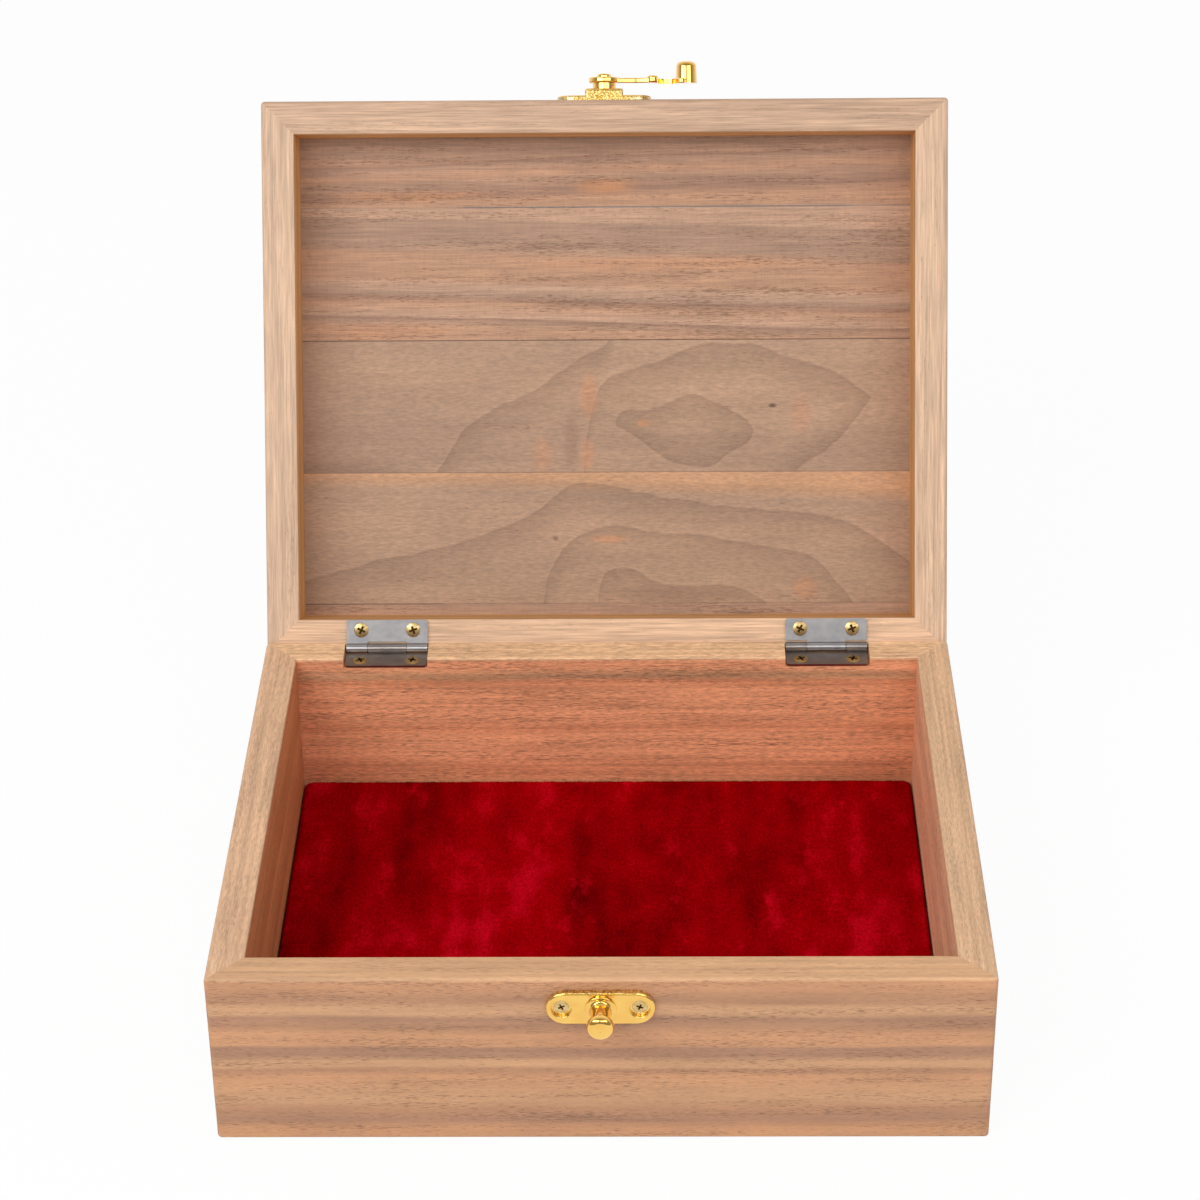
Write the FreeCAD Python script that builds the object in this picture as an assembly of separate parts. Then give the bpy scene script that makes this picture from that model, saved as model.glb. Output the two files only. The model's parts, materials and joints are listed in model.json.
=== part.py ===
import FreeCAD, Part
import math
import os

# Hinged walnut box with mitred walls, a velvet-lined bottom, two box hinges and a swing-hook latch.
# Millimetres, +X to the right, +Y to the back, +Z up, origin at the middle of the underside.
# The lid is drawn shut and then turned about the hinge pins to where it leans open.

# Box
box_width = 210.0
box_depth = 169.0
base_height = 54.5
lid_height = 27.0
wall = 10.0
edge_round = 1.2
inner_edge_round = 0.4
rim_gap = 0.3
lid_open_angle = 117.0
lid_stop_gap = 0.08

# Panels and lining
bottom_thickness = 5.0
bottom_rebate = 5.0
lid_board_thickness = 8.0
lid_rebate = 5.0
lid_front_board_width = 26.9
lid_hinge_board_width = 8.3
lid_middle_board_count = 3
lining_board_thickness = 3.4
velvet_thickness = 1.4
velvet_side_gap = 0.6
velvet_corner_radius = 3.0
velvet_edge_round = 1.0

# Hinges
hinge_length = 25.0
hinge_from_side = 37.3
knuckle_radius = 1.5
knuckle_gap = 0.2
middle_knuckle_length = 11.8
leaf_thickness = 0.8
leaf_clearance = 0.25
leaf_setback = 0.1
leaf_corner_radius = 0.8
knuckle_notch_clearance = 0.4
mortise_end_gap = 0.4
hinge_pin_radius = 0.75
pin_clearance = 0.03
hinge_screw_spacing = 16.0
hinge_screw_from_pin = 5.5

# Screws
screw_shank_radius = 1.0
screw_length = 8.0
screw_tip_length = 2.0
screw_head_radius = 2.2
screw_head_cone = 1.2
plate_screw_head_radius = 2.0
plate_screw_cone = 0.8
screw_dome = 0.3
screw_clearance = 0.05
cross_slot_length = 2.6
cross_slot_width = 0.7
cross_slot_depth = 0.7
plate_cross_slot_length = 1.9
plate_cross_slot_width = 0.5
plate_cross_slot_depth = 0.9
screw_turns = (25.0, -20.0)

# Latch plates, on the lid and on the base
plate_length = 29.0
plate_width = 10.2
plate_thickness = 1.8
plate_edge_round = 0.6
plate_screw_spacing = 20.8
counterbore_radius = 2.75
counterbore_depth = 1.0
counterbore_edge_round = 0.3
peg_below_rim = 8.6

# Hook, with heights measured from the face of the lid
boss_length = 11.7
boss_height = 3.9
boss_round = 0.8
post_radius = 3.6
post_height = 5.7
hub_radius = 4.8
hub_thickness = 1.75
hub_round = 0.5
hub_clearance = 0.05
arm_thickness = 1.5
arm_round = 0.35
arm_half_width = 2.6
arm_waist_half_width = 1.6
rivet_radius = 1.5
rivet_clearance = 0.05
rivet_head_radius = 2.1
rivet_head_height = 1.2
rivet_head_dome = 0.25
rivet_head_round = 0.55
latch_reach = 19.6
peg_play = 0.25
claw_width = 2.3
horn_radius = 1.6
horn_drop = 1.2
horn_clearance = 0.1
horn_rise = 0.7
horn_round = 0.6
knob_past_peg = 5.75
knob_offset = 4.5
knob_radius = 3.35
knob_top_radius = 3.05
knob_foot = 0.2
knob_height = 6.9
knob_dome = 0.6
knob_shoulder_round = 1.5

# Peg, with heights measured from the front of the base
peg_shank_radius = 1.5
peg_ring_radius = 4.3
peg_ring_height = 2.4
peg_ring_round = 0.3
peg_flare_round = 1.2
peg_neck_radius = 2.75
peg_neck_start = 2.6
peg_neck_end = 7.35
peg_head_radius = 3.75
peg_head_start = 9.0
peg_head_dome = 0.7
peg_head_round = 1.9
peg_height = 11.3

# Places that follow from the sizes above
lid_rim_above_pin = knuckle_radius + leaf_clearance
base_rim_above_pin = lid_rim_above_pin - rim_gap
open_sin = math.sin(math.radians(lid_open_angle))
open_cos = math.cos(math.radians(lid_open_angle))
pin_inset = (
    (lid_rim_above_pin + edge_round) * open_sin - edge_round * (1 + open_cos) - lid_stop_gap
) / (1 - open_cos)
pin_y = box_depth / 2 - pin_inset
pin_z = base_height - base_rim_above_pin
lid_rim_z = pin_z + lid_rim_above_pin
lid_top_z = lid_rim_z + lid_height
front_y = -box_depth / 2
peg_z = base_height - peg_below_rim
hook_z = peg_z + latch_reach
hub_start = post_height + hub_clearance
hub_end = hub_start + hub_thickness

X_AXIS = FreeCAD.Vector(1, 0, 0)
Z_AXIS = FreeCAD.Vector(0, 0, 1)


def vector(x, y, z=0.0):
    return FreeCAD.Vector(x, y, z)


def block(low, high):
    """A box between two corners."""
    size = [h - l for l, h in zip(low, high)]
    return Part.makeBox(*size, vector(*low))


def moved(shape, x=0.0, y=0.0, z=0.0):
    copy = shape.copy()
    copy.translate(vector(x, y, z))
    return copy


def turned(shape, centre, axis, angle):
    copy = shape.copy()
    copy.rotate(centre, axis, angle)
    return copy


def opened(shape):
    """A piece of the lid, turned about the hinge pins from shut to open."""
    return turned(shape, vector(0, pin_y, pin_z), X_AXIS, -lid_open_angle)


def facing_front(shape, z):
    """A piece drawn on the XY plane and rising along Z, stood on the front face at a height."""
    return moved(turned(shape, vector(0, 0, 0), X_AXIS, 90), y=front_y, z=z)


def revolved(outline, cap=0.0):
    """A turned piece: radii and heights from the axis outwards, closed by a flat or round cap."""
    points = [vector(radius, 0, height) for radius, height in outline]
    rim_radius, rim_height = outline[-1]
    top = vector(0, 0, rim_height + cap)
    if cap > 0:
        ball = (cap * cap + rim_radius * rim_radius) / (2 * cap)
        half_angle = math.asin(min(1.0, rim_radius / ball)) / 2
        middle = vector(ball * math.sin(half_angle), 0, top.z - ball + ball * math.cos(half_angle))
        closing = Part.Arc(points[-1], middle, top).toShape()
    else:
        closing = Part.makeLine(points[-1], top)
    edges = Part.makePolygon(points).Edges + [closing, Part.makeLine(top, points[0])]
    return Part.Face(Part.Wire(edges)).revolve(vector(0, 0, 0), Z_AXIS, 360)


def edges_where(shape, test):
    """The edges whose every vertex and middle pass a test."""
    found = []
    for edge in shape.Edges:
        spots = [vertex.Point for vertex in edge.Vertexes]
        spots.append(edge.valueAt((edge.FirstParameter + edge.LastParameter) / 2))
        if all(test(spot) for spot in spots):
            found.append(edge)
    return found


def near(value, target):
    return abs(value - target) < 1e-4


def frame_ring(low_z, high_z, rebate, rebate_low, rebate_high):
    """A rectangular frame of four walls in one, with eased edges and a rebate for a panel."""
    half_width = box_width / 2
    half_depth = box_depth / 2
    body = block((-half_width, -half_depth, low_z), (half_width, half_depth, high_z))
    body = body.makeFillet(edge_round, body.Edges)
    inner_x = half_width - wall
    inner_y = half_depth - wall
    body = body.cut(block((-inner_x, -inner_y, low_z - 1), (inner_x, inner_y, high_z + 1)))
    ledge_x = inner_x + rebate
    ledge_y = inner_y + rebate
    return body.cut(block((-ledge_x, -ledge_y, rebate_low), (ledge_x, ledge_y, rebate_high)))


def eased_inner_rim(ring, rim_z):
    """The ring with the inner edge of its rim rounded a little."""
    inner_x = box_width / 2 - wall
    inner_y = box_depth / 2 - wall

    def on_inner_rim(spot):
        inside = abs(spot.x) < inner_x + 1e-4 and abs(spot.y) < inner_y + 1e-4
        return near(spot.z, rim_z) and inside

    return ring.makeFillet(inner_edge_round, edges_where(ring, on_inner_rim))


def mitred(ring, side):
    """One wall of a ring, cut at 45 degrees at both ends. Side 0 is front, then right, back, left."""
    reach = wall + bottom_rebate
    across = box_width if side % 2 == 0 else box_depth
    away = box_depth if side % 2 == 0 else box_width
    outside = 1.0
    corners = [
        vector(-across / 2 - outside, -away / 2 - outside),
        vector(across / 2 + outside, -away / 2 - outside),
        vector(across / 2 - reach, -away / 2 + reach),
        vector(-across / 2 + reach, -away / 2 + reach),
    ]
    face = Part.Face(Part.makePolygon(corners + corners[:1]))
    prism = moved(face.extrude(vector(0, 0, 4 * base_height)), z=-base_height)
    return ring.common(turned(prism, vector(0, 0, 0), Z_AXIS, 90 * side))


def screw(dome, head_radius, cone, slot_length, slot_width, slot_depth):
    """A cross-slot wood screw with its head's rim at Z 0, pointing down."""
    outline = [
        (0, -screw_length),
        (screw_shank_radius, screw_tip_length - screw_length),
        (screw_shank_radius, -cone),
        (head_radius, 0),
    ]
    body = revolved(outline, dome)
    half_length = slot_length / 2
    half_width = slot_width / 2
    slot = block((-half_length, -half_width, -slot_depth), (half_length, half_width, dome + 1))
    return body.cut(slot).cut(turned(slot, vector(0, 0, 0), Z_AXIS, 90))


def screw_hole(head_radius, cone):
    """The room a screw takes up, with a little clearance all round, open above its head."""
    outline = [
        (0, -screw_length - screw_clearance),
        (screw_shank_radius + screw_clearance, -screw_length - screw_clearance),
        (screw_shank_radius + screw_clearance, -cone),
        (head_radius + screw_clearance, 0),
        (head_radius + screw_clearance, 1),
    ]
    return revolved(outline)


def at_pair(shape, spacing):
    """Two copies of a shape, apart by a spacing along X, each turned about its own axis like a driven screw."""
    left, right = [turned(shape, vector(0, 0, 0), Z_AXIS, turn) for turn in screw_turns]
    return [moved(left, x=-spacing / 2), moved(right, x=spacing / 2)]


# Hinges. Each is drawn on the pin's line, at X 0, with the lid shut.

leaf_reach = wall - pin_inset - leaf_setback
leaf_face = lid_rim_above_pin - leaf_thickness
mortise_half_length = hinge_length / 2 + mortise_end_gap


def cylinder_along_x(radius, start, end):
    return Part.makeCylinder(radius, end - start, vector(start, 0, 0), X_AXIS)


def knuckle_spans(outer):
    """The stretches of barrel that one leaf carries: the two outer ones, or the middle one."""
    middle = middle_knuckle_length / 2
    if outer:
        inner_end = middle + knuckle_gap
        return [(-hinge_length / 2, -inner_end), (inner_end, hinge_length / 2)]
    return [(-middle, middle)]


def leaf_plate():
    """The flat of a base leaf, with its far corners rounded."""
    low = (-hinge_length / 2, -leaf_reach, -lid_rim_above_pin)
    high = (hinge_length / 2, 0, -leaf_face)
    plate = block(low, high)
    far_corners = edges_where(plate, lambda spot: near(spot.y, -leaf_reach) and near(abs(spot.x), high[0]))
    return plate.makeFillet(leaf_corner_radius, far_corners)


def base_leaf(outer):
    """The leaf that lies at the bottom of the mortise, with its knuckles and countersunk holes."""
    plate = leaf_plate()
    clear = knuckle_radius + knuckle_notch_clearance
    for start, end in knuckle_spans(not outer):
        room = block(
            (start - knuckle_gap, -clear, -2 * clear),
            (end + knuckle_gap, clear, 2 * clear),
        )
        plate = plate.cut(room)
    for start, end in knuckle_spans(outer):
        plate = plate.fuse(cylinder_along_x(knuckle_radius, start, end))
    plate = plate.cut(cylinder_along_x(hinge_pin_radius + pin_clearance, -hinge_length, hinge_length))
    return plate.cut(hinge_screw_holes()).removeSplitter()


def on_leaf(shape):
    """A pair of screws or holes, moved to their places on a base leaf."""
    return [moved(one, y=-hinge_screw_from_pin, z=-leaf_face) for one in at_pair(shape, hinge_screw_spacing)]


def hinge_screws():
    cross = (cross_slot_length, cross_slot_width, cross_slot_depth)
    return on_leaf(screw(screw_dome, screw_head_radius, screw_head_cone, *cross))


def hinge_screw_holes():
    return on_leaf(screw_hole(screw_head_radius, screw_head_cone))


def on_lid_side(shape):
    """A base leaf's piece, flipped to the lid's side of the pin."""
    return shape.mirror(vector(0, 0, 0), Z_AXIS)


def at_hinge(shape, centre_x):
    return moved(shape, x=centre_x, y=pin_y, z=pin_z)


hinge_centre = box_width / 2 - hinge_from_side
hinge_places = {"left": -hinge_centre, "right": hinge_centre}
# The left hinge is fitted the other way up, so its base leaf carries the middle knuckle.
base_leaf_has_outer = {"left": False, "right": True}


# Latch plates, drawn lying on the XY plane.


def stadium(length, width, thickness):
    """A plate with half-round ends."""
    straight = length / 2 - width / 2
    half = width / 2
    wire = Part.Wire([
        Part.makeLine(vector(-straight, -half), vector(straight, -half)),
        Part.Arc(vector(straight, -half), vector(straight + half, 0), vector(straight, half)).toShape(),
        Part.makeLine(vector(straight, half), vector(-straight, half)),
        Part.Arc(vector(-straight, half), vector(-straight - half, 0), vector(-straight, -half)).toShape(),
    ])
    return Part.Face(wire).extrude(vector(0, 0, thickness))


plate_screw_seat = plate_thickness - counterbore_depth


def latch_plate():
    """A rounded plate with two counterbored screw holes."""
    plate = stadium(plate_length, plate_width, plate_thickness)
    rim = edges_where(plate, lambda spot: near(spot.z, plate_thickness))
    plate = plate.makeFillet(plate_edge_round, rim)
    bore = Part.makeCylinder(counterbore_radius, counterbore_depth + 1, vector(0, 0, plate_screw_seat))
    plate = plate.cut(at_pair(bore, plate_screw_spacing))

    def on_bore_edge(spot):
        off_centre = math.hypot(abs(spot.x) - plate_screw_spacing / 2, spot.y)
        return near(spot.z, plate_thickness) and near(off_centre, counterbore_radius)

    plate = plate.makeFillet(counterbore_edge_round, edges_where(plate, on_bore_edge))
    return plate.cut(plate_screw_holes())


def plate_screws():
    cross = (plate_cross_slot_length, plate_cross_slot_width, plate_cross_slot_depth)
    flat_screw = screw(0.0, plate_screw_head_radius, plate_screw_cone, *cross)
    return at_pair(moved(flat_screw, z=plate_screw_seat), plate_screw_spacing)


def plate_screw_holes():
    hole = screw_hole(plate_screw_head_radius, plate_screw_cone)
    return at_pair(moved(hole, z=plate_screw_seat), plate_screw_spacing)


def catch_plate():
    bore = Part.makeCylinder(peg_shank_radius + rivet_clearance, plate_thickness + 2, vector(0, 0, -1))
    return latch_plate().cut(bore)


def catch_peg():
    """A turned peg: a shank through the plate, a low ring, a neck, and a head that widens to a round button."""
    shoulder = peg_height - peg_head_dome
    outline = [
        (0, 0),
        (peg_shank_radius, 0),
        (peg_shank_radius, plate_thickness),
        (peg_ring_radius, plate_thickness),
        (peg_ring_radius, peg_ring_height),
        (peg_neck_radius, peg_neck_start),
        (peg_neck_radius, peg_neck_end),
        (peg_head_radius, peg_head_start),
        (peg_head_radius, shoulder),
    ]
    peg = revolved(outline, peg_head_dome)
    peg = peg.makeFillet(peg_head_round, edges_where(peg, lambda spot: near(spot.z, shoulder)))
    peg = peg.makeFillet(peg_ring_round, edges_where(peg, lambda spot: near(spot.z, peg_ring_height)))
    return peg.makeFillet(peg_flare_round, edges_where(peg, lambda spot: near(spot.z, peg_neck_start)))


def hook_plate():
    """The lid's plate, with a raised middle block and the post that the hook turns on."""
    plate = latch_plate()
    half_width = plate_width / 2
    boss = block((-boss_length / 2, -half_width, 0), (boss_length / 2, half_width, boss_height))
    boss = boss.makeFillet(boss_round, [edge for edge in boss.Edges if edge.CenterOfMass.z > 1e-4])
    post = Part.makeCylinder(post_radius, post_height)
    bore = Part.makeCylinder(rivet_radius + rivet_clearance, post_height + 2, vector(0, 0, -1))
    return plate.fuse([boss, post]).removeSplitter().cut(bore)


def hook_rivet():
    """The rivet that holds the hook on its post, with a rounded head."""
    top = hub_end + hub_clearance
    shoulder = top + rivet_head_height - rivet_head_dome
    outline = [
        (0, 0),
        (rivet_radius, 0),
        (rivet_radius, top),
        (rivet_head_radius, top),
        (rivet_head_radius, shoulder),
    ]
    rivet = revolved(outline, rivet_head_dome)
    return rivet.makeFillet(rivet_head_round, edges_where(rivet, lambda spot: near(spot.z, shoulder)))


def button(radius, thickness, rounding, x=0.0, y=0.0):
    """A disc on the XY plane with both its rims rounded."""
    disc = Part.makeCylinder(radius, thickness, vector(x, y, 0))
    rims = edges_where(disc, lambda spot: near(spot.z, 0) or near(spot.z, thickness))
    return disc.makeFillet(rounding, rims)


def hook_arm_bar(end_x):
    """The waisted bar from the hub to the horn."""
    start_x = hub_radius - 1.0
    middle_x = (start_x + end_x) / 2
    near_side = Part.Arc(
        vector(start_x, -arm_half_width),
        vector(middle_x, -arm_waist_half_width),
        vector(end_x, -arm_half_width),
    ).toShape()
    far_side = Part.Arc(
        vector(end_x, arm_half_width),
        vector(middle_x, arm_waist_half_width),
        vector(start_x, arm_half_width),
    ).toShape()
    end = Part.makeLine(vector(end_x, -arm_half_width), vector(end_x, arm_half_width))
    start = Part.makeLine(vector(start_x, arm_half_width), vector(start_x, -arm_half_width))
    bar = Part.Face(Part.Wire([near_side, end, far_side, start])).extrude(vector(0, 0, arm_thickness))

    def on_long_edge(spot):
        on_face = near(spot.z, 0) or near(spot.z, arm_thickness)
        return on_face and abs(spot.y) > arm_waist_half_width - 1e-4

    return bar.makeFillet(arm_round, edges_where(bar, on_long_edge))


def hook_claw(slot_radius):
    """The half ring that goes round the far side of the peg's neck, with a rounded tip."""
    claw_radius = slot_radius + claw_width
    ring = button(claw_radius, arm_thickness, arm_round, latch_reach)
    open_side = block(
        (latch_reach - 2 * claw_radius, -2 * claw_radius, -1),
        (latch_reach + 2 * claw_radius, 0, arm_thickness + 1),
    )
    tip_x = latch_reach + slot_radius + claw_width / 2
    tip = button(claw_width / 2, arm_thickness, arm_round, tip_x)
    slot = Part.makeCylinder(slot_radius, arm_thickness + 2, vector(latch_reach, 0, -1))
    return ring.cut([open_side, slot]).fuse(tip)


def thumb_knob():
    """A slightly tapered round knob with a domed top."""
    shoulder = knob_height - knob_dome
    knob = revolved([(0, 0), (knob_radius, 0), (knob_top_radius, shoulder)], knob_dome)
    crease = edges_where(knob, lambda spot: near(spot.z, shoulder))
    return knob.makeFillet(knob_shoulder_round, crease)


def swing_hook():
    """A cast arm along +X: hub, waisted bar, horn, a claw open towards -Y, and a thumb knob."""
    slot_radius = peg_neck_radius + peg_play
    horn_x = latch_reach - slot_radius - horn_clearance - horn_radius
    hub = button(hub_radius, hub_thickness, hub_round)
    horn = button(horn_radius, arm_thickness + horn_rise, horn_round, horn_x, -horn_drop)
    knob = moved(thumb_knob(), x=latch_reach + knob_past_peg, y=knob_offset, z=knob_foot)
    bore = Part.makeCylinder(rivet_radius + rivet_clearance, hub_thickness + 2, vector(0, 0, -1))
    whole = hub.fuse([hook_arm_bar(horn_x), hook_claw(slot_radius), horn, knob])
    return moved(whole.removeSplitter().cut(bore), z=hub_start)


# Wooden frames, panels and lining


def base_ring():
    ring = frame_ring(0, base_height, bottom_rebate, -1, bottom_thickness)
    ring = eased_inner_rim(ring, base_height)
    for centre in hinge_places.values():
        mortise = block(
            (centre - mortise_half_length, box_depth / 2 - wall - 1, pin_z - lid_rim_above_pin),
            (centre + mortise_half_length, box_depth / 2 + 1, base_height + 1),
        )
        ring = ring.cut(mortise)
        ring = ring.cut([at_hinge(hole, centre) for hole in hinge_screw_holes()])
    return ring.cut([facing_front(hole, peg_z) for hole in plate_screw_holes()])


def lid_ring():
    board_bottom = lid_top_z - lid_board_thickness
    ring = frame_ring(lid_rim_z, lid_top_z, lid_rebate, board_bottom, lid_top_z + 1)
    ring = eased_inner_rim(ring, lid_rim_z)
    for centre in hinge_places.values():
        ring = ring.cut([at_hinge(on_lid_side(hole), centre) for hole in hinge_screw_holes()])
    return ring.cut([facing_front(hole, hook_z) for hole in plate_screw_holes()])


def bottom_panel():
    half_x = box_width / 2 - wall + bottom_rebate
    half_y = box_depth / 2 - wall + bottom_rebate
    return block((-half_x, -half_y, 0), (half_x, half_y, bottom_thickness))


def lid_boards():
    """The lid's panel, ripped across its depth into edge-glued boards, front board first."""
    half_x = box_width / 2 - wall + lid_rebate
    half_y = box_depth / 2 - wall + lid_rebate
    middle = (2 * half_y - lid_front_board_width - lid_hinge_board_width) / lid_middle_board_count
    widths = [lid_front_board_width] + [middle] * lid_middle_board_count + [lid_hinge_board_width]
    boards = []
    start = -half_y
    for width in widths:
        low = (-half_x, start, lid_top_z - lid_board_thickness)
        boards.append(block(low, (half_x, start + width, lid_top_z)))
        start += width
    return boards


velvet_half_x = box_width / 2 - wall - velvet_side_gap
velvet_half_y = box_depth / 2 - wall - velvet_side_gap


def lining_board():
    half_x = velvet_half_x - velvet_thickness
    half_y = velvet_half_y - velvet_thickness
    top = bottom_thickness + lining_board_thickness
    return block((-half_x, -half_y, bottom_thickness), (half_x, half_y, top))


def velvet_lining():
    """Pile cloth over the lining board's top and down its four edges."""
    top = bottom_thickness + lining_board_thickness + velvet_thickness
    low = (-velvet_half_x, -velvet_half_y, bottom_thickness)
    cloth = block(low, (velvet_half_x, velvet_half_y, top))

    def upright(spot):
        return near(abs(spot.x), velvet_half_x) and near(abs(spot.y), velvet_half_y)

    cloth = cloth.makeFillet(velvet_corner_radius, edges_where(cloth, upright))
    cloth = cloth.makeFillet(velvet_edge_round, edges_where(cloth, lambda spot: near(spot.z, top)))
    return cloth.cut(lining_board())


# Every piece, by name, where it is with the lid open

pieces = {}
sides = ("front", "right", "back", "left")

base = base_ring()
lid = lid_ring()
for number, side in enumerate(sides):
    pieces["base_" + side + "_wall"] = mitred(base, number)
    pieces["lid_" + side + "_rail"] = opened(mitred(lid, number))

pieces["bottom_panel"] = bottom_panel()
pieces["lining_board"] = lining_board()
pieces["velvet_lining"] = velvet_lining()

for number, board in enumerate(lid_boards(), start=1):
    pieces["lid_board_" + str(number)] = opened(board)

for side, centre in hinge_places.items():
    outer = base_leaf_has_outer[side]
    screws = Part.makeCompound(hinge_screws())
    pin = cylinder_along_x(hinge_pin_radius, -hinge_length / 2, hinge_length / 2)
    pieces[side + "_hinge_base_leaf"] = at_hinge(base_leaf(outer), centre)
    pieces[side + "_hinge_lid_leaf"] = opened(at_hinge(on_lid_side(base_leaf(not outer)), centre))
    pieces[side + "_hinge_pin"] = at_hinge(pin, centre)
    pieces[side + "_hinge_base_screws"] = at_hinge(screws, centre)
    pieces[side + "_hinge_lid_screws"] = opened(at_hinge(on_lid_side(screws), centre))

pieces["catch_plate"] = facing_front(catch_plate(), peg_z)
pieces["catch_peg"] = facing_front(catch_peg(), peg_z)
pieces["catch_plate_screws"] = facing_front(Part.makeCompound(plate_screws()), peg_z)
pieces["hook_plate"] = opened(facing_front(hook_plate(), hook_z))
pieces["hook_rivet"] = opened(facing_front(hook_rivet(), hook_z))
pieces["hook_plate_screws"] = opened(facing_front(Part.makeCompound(plate_screws()), hook_z))
pieces["swing_hook"] = opened(facing_front(swing_hook(), hook_z))

os.makedirs("parts", exist_ok=True)
for name, shape in pieces.items():
    shape.exportStep("parts/" + name + ".step")
    print(name, len(shape.Solids), "solids", round(shape.Volume, 2), "mm3", shape.isValid())
print("pin at y", round(pin_y, 4), "z", round(pin_z, 4), "hook pivot shut z", round(hook_z, 4))
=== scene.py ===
# A small walnut box with a hinged lid, a red velvet lining and a gilt hook latch, standing open.
import json
import math

import bpy
import numpy as np
from mathutils import Matrix, Vector


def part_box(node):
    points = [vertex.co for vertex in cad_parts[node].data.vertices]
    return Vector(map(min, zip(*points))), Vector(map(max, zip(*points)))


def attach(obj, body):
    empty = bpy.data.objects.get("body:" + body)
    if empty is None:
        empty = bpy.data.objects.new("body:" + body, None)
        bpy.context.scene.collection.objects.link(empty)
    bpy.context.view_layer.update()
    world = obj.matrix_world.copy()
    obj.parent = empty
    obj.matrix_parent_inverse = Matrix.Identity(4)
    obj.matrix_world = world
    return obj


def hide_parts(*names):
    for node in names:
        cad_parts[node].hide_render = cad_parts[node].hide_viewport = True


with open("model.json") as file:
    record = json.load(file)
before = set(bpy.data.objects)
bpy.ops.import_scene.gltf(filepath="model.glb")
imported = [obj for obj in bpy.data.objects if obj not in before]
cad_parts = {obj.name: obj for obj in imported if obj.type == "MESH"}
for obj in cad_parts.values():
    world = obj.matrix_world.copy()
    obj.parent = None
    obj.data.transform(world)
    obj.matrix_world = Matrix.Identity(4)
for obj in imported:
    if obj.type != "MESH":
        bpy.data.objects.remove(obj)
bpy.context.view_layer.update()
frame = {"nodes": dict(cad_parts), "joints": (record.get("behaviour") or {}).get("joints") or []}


# The four walls of the base: 10 mm boards of pale walnut, mitred at the corners, glued and sanded. The grain
# runs along each wall, so the faces show long ribbons, and the sawn rim on top is paler than the faces.
mm = 0.001
upright = Vector((0, 0, 1))
sideways = Vector((1, 0, 0))
backward = Vector((0, 1, 0))

walnut_tan = "#c69770"
walnut_orange = "#c59069"
walnut_brown = "#b28362"
walnut_grey = "#a87d61"
# The two colours below are painted light on the back wall's inner face: lighter than its wood, for light
# reaching into the box, and redder, as a painted reflection of the red velvet.
inside_red_painted_bounce = "#eda579"
inside_brown_painted_light = "#de956b"
pore_brown = "#6b4733"
face_blend = 3

# Bands of the figure as (height, colour), with heights in millimetres above the wall's foot.
front_bands = [
    (0.0, walnut_tan), (7.0, walnut_orange), (10.0, walnut_grey), (13.5, walnut_brown), (17.0, walnut_tan),
    (24.6, walnut_orange), (26.0, walnut_brown), (26.8, walnut_brown), (27.6, walnut_tan),
    (29.5, walnut_tan), (31.5, walnut_grey), (34.2, walnut_grey), (35.0, walnut_orange),
    (39.0, walnut_orange), (41.0, walnut_brown), (44.6, walnut_grey), (46.0, walnut_tan),
    (48.4, walnut_tan), (50.0, walnut_brown), (51.5, walnut_brown), (54.5, walnut_orange),
]
left_inside_bands = [
    (0.0, "#bf7d4e"), (14.0, "#ce8b58"), (20.0, "#c28050"), (33.0, "#d3905f"), (38.0, "#c28050"),
    (46.0, "#ce8b58"), (54.5, "#d3905f"),
]
# The right wall's inner face is painted lighter: painted light, as it faces the stronger lamp; its wood is
# the same.
right_inside_painted_lit_bands = [
    (0.0, "#cc9873"), (8.0, "#f3be98"), (13.0, "#edb58e"), (22.0, "#e8ae88"), (30.0, "#f2bd95"),
    (38.0, "#e8ae88"), (46.0, "#f4c199"), (54.5, "#edb68f"),
]
side_bands = [
    (0.0, walnut_brown), (6.0, walnut_tan), (11.0, walnut_brown), (13.0, walnut_orange), (21.0, walnut_tan),
    (22.5, walnut_brown), (29.0, walnut_grey), (30.0, walnut_orange), (37.0, walnut_tan),
    (39.0, walnut_brown), (44.0, walnut_tan), (46.0, walnut_orange), (54.5, walnut_tan),
]
# The back wall's inner face, painted lighter and redder: painted light and a painted reflection of the
# velvet.
back_inside_bands = [
    (0.0, inside_brown_painted_light), (18.0, inside_brown_painted_light), (22.0, inside_red_painted_bounce), (30.0, inside_red_painted_bounce), (32.0, inside_brown_painted_light),
    (36.0, inside_red_painted_bounce), (46.0, inside_red_painted_bounce), (49.0, inside_brown_painted_light), (51.0, walnut_tan), (54.5, inside_red_painted_bounce),
]


def linear(code):
    """An sRGB hex colour as linear red, green, blue and alpha."""
    values = [int(code[i:i + 2], 16) / 255 for i in (1, 3, 5)]
    return [v / 12.92 if v <= 0.04045 else ((v + 0.055) / 1.055) ** 2.4 for v in values] + [1]


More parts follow.
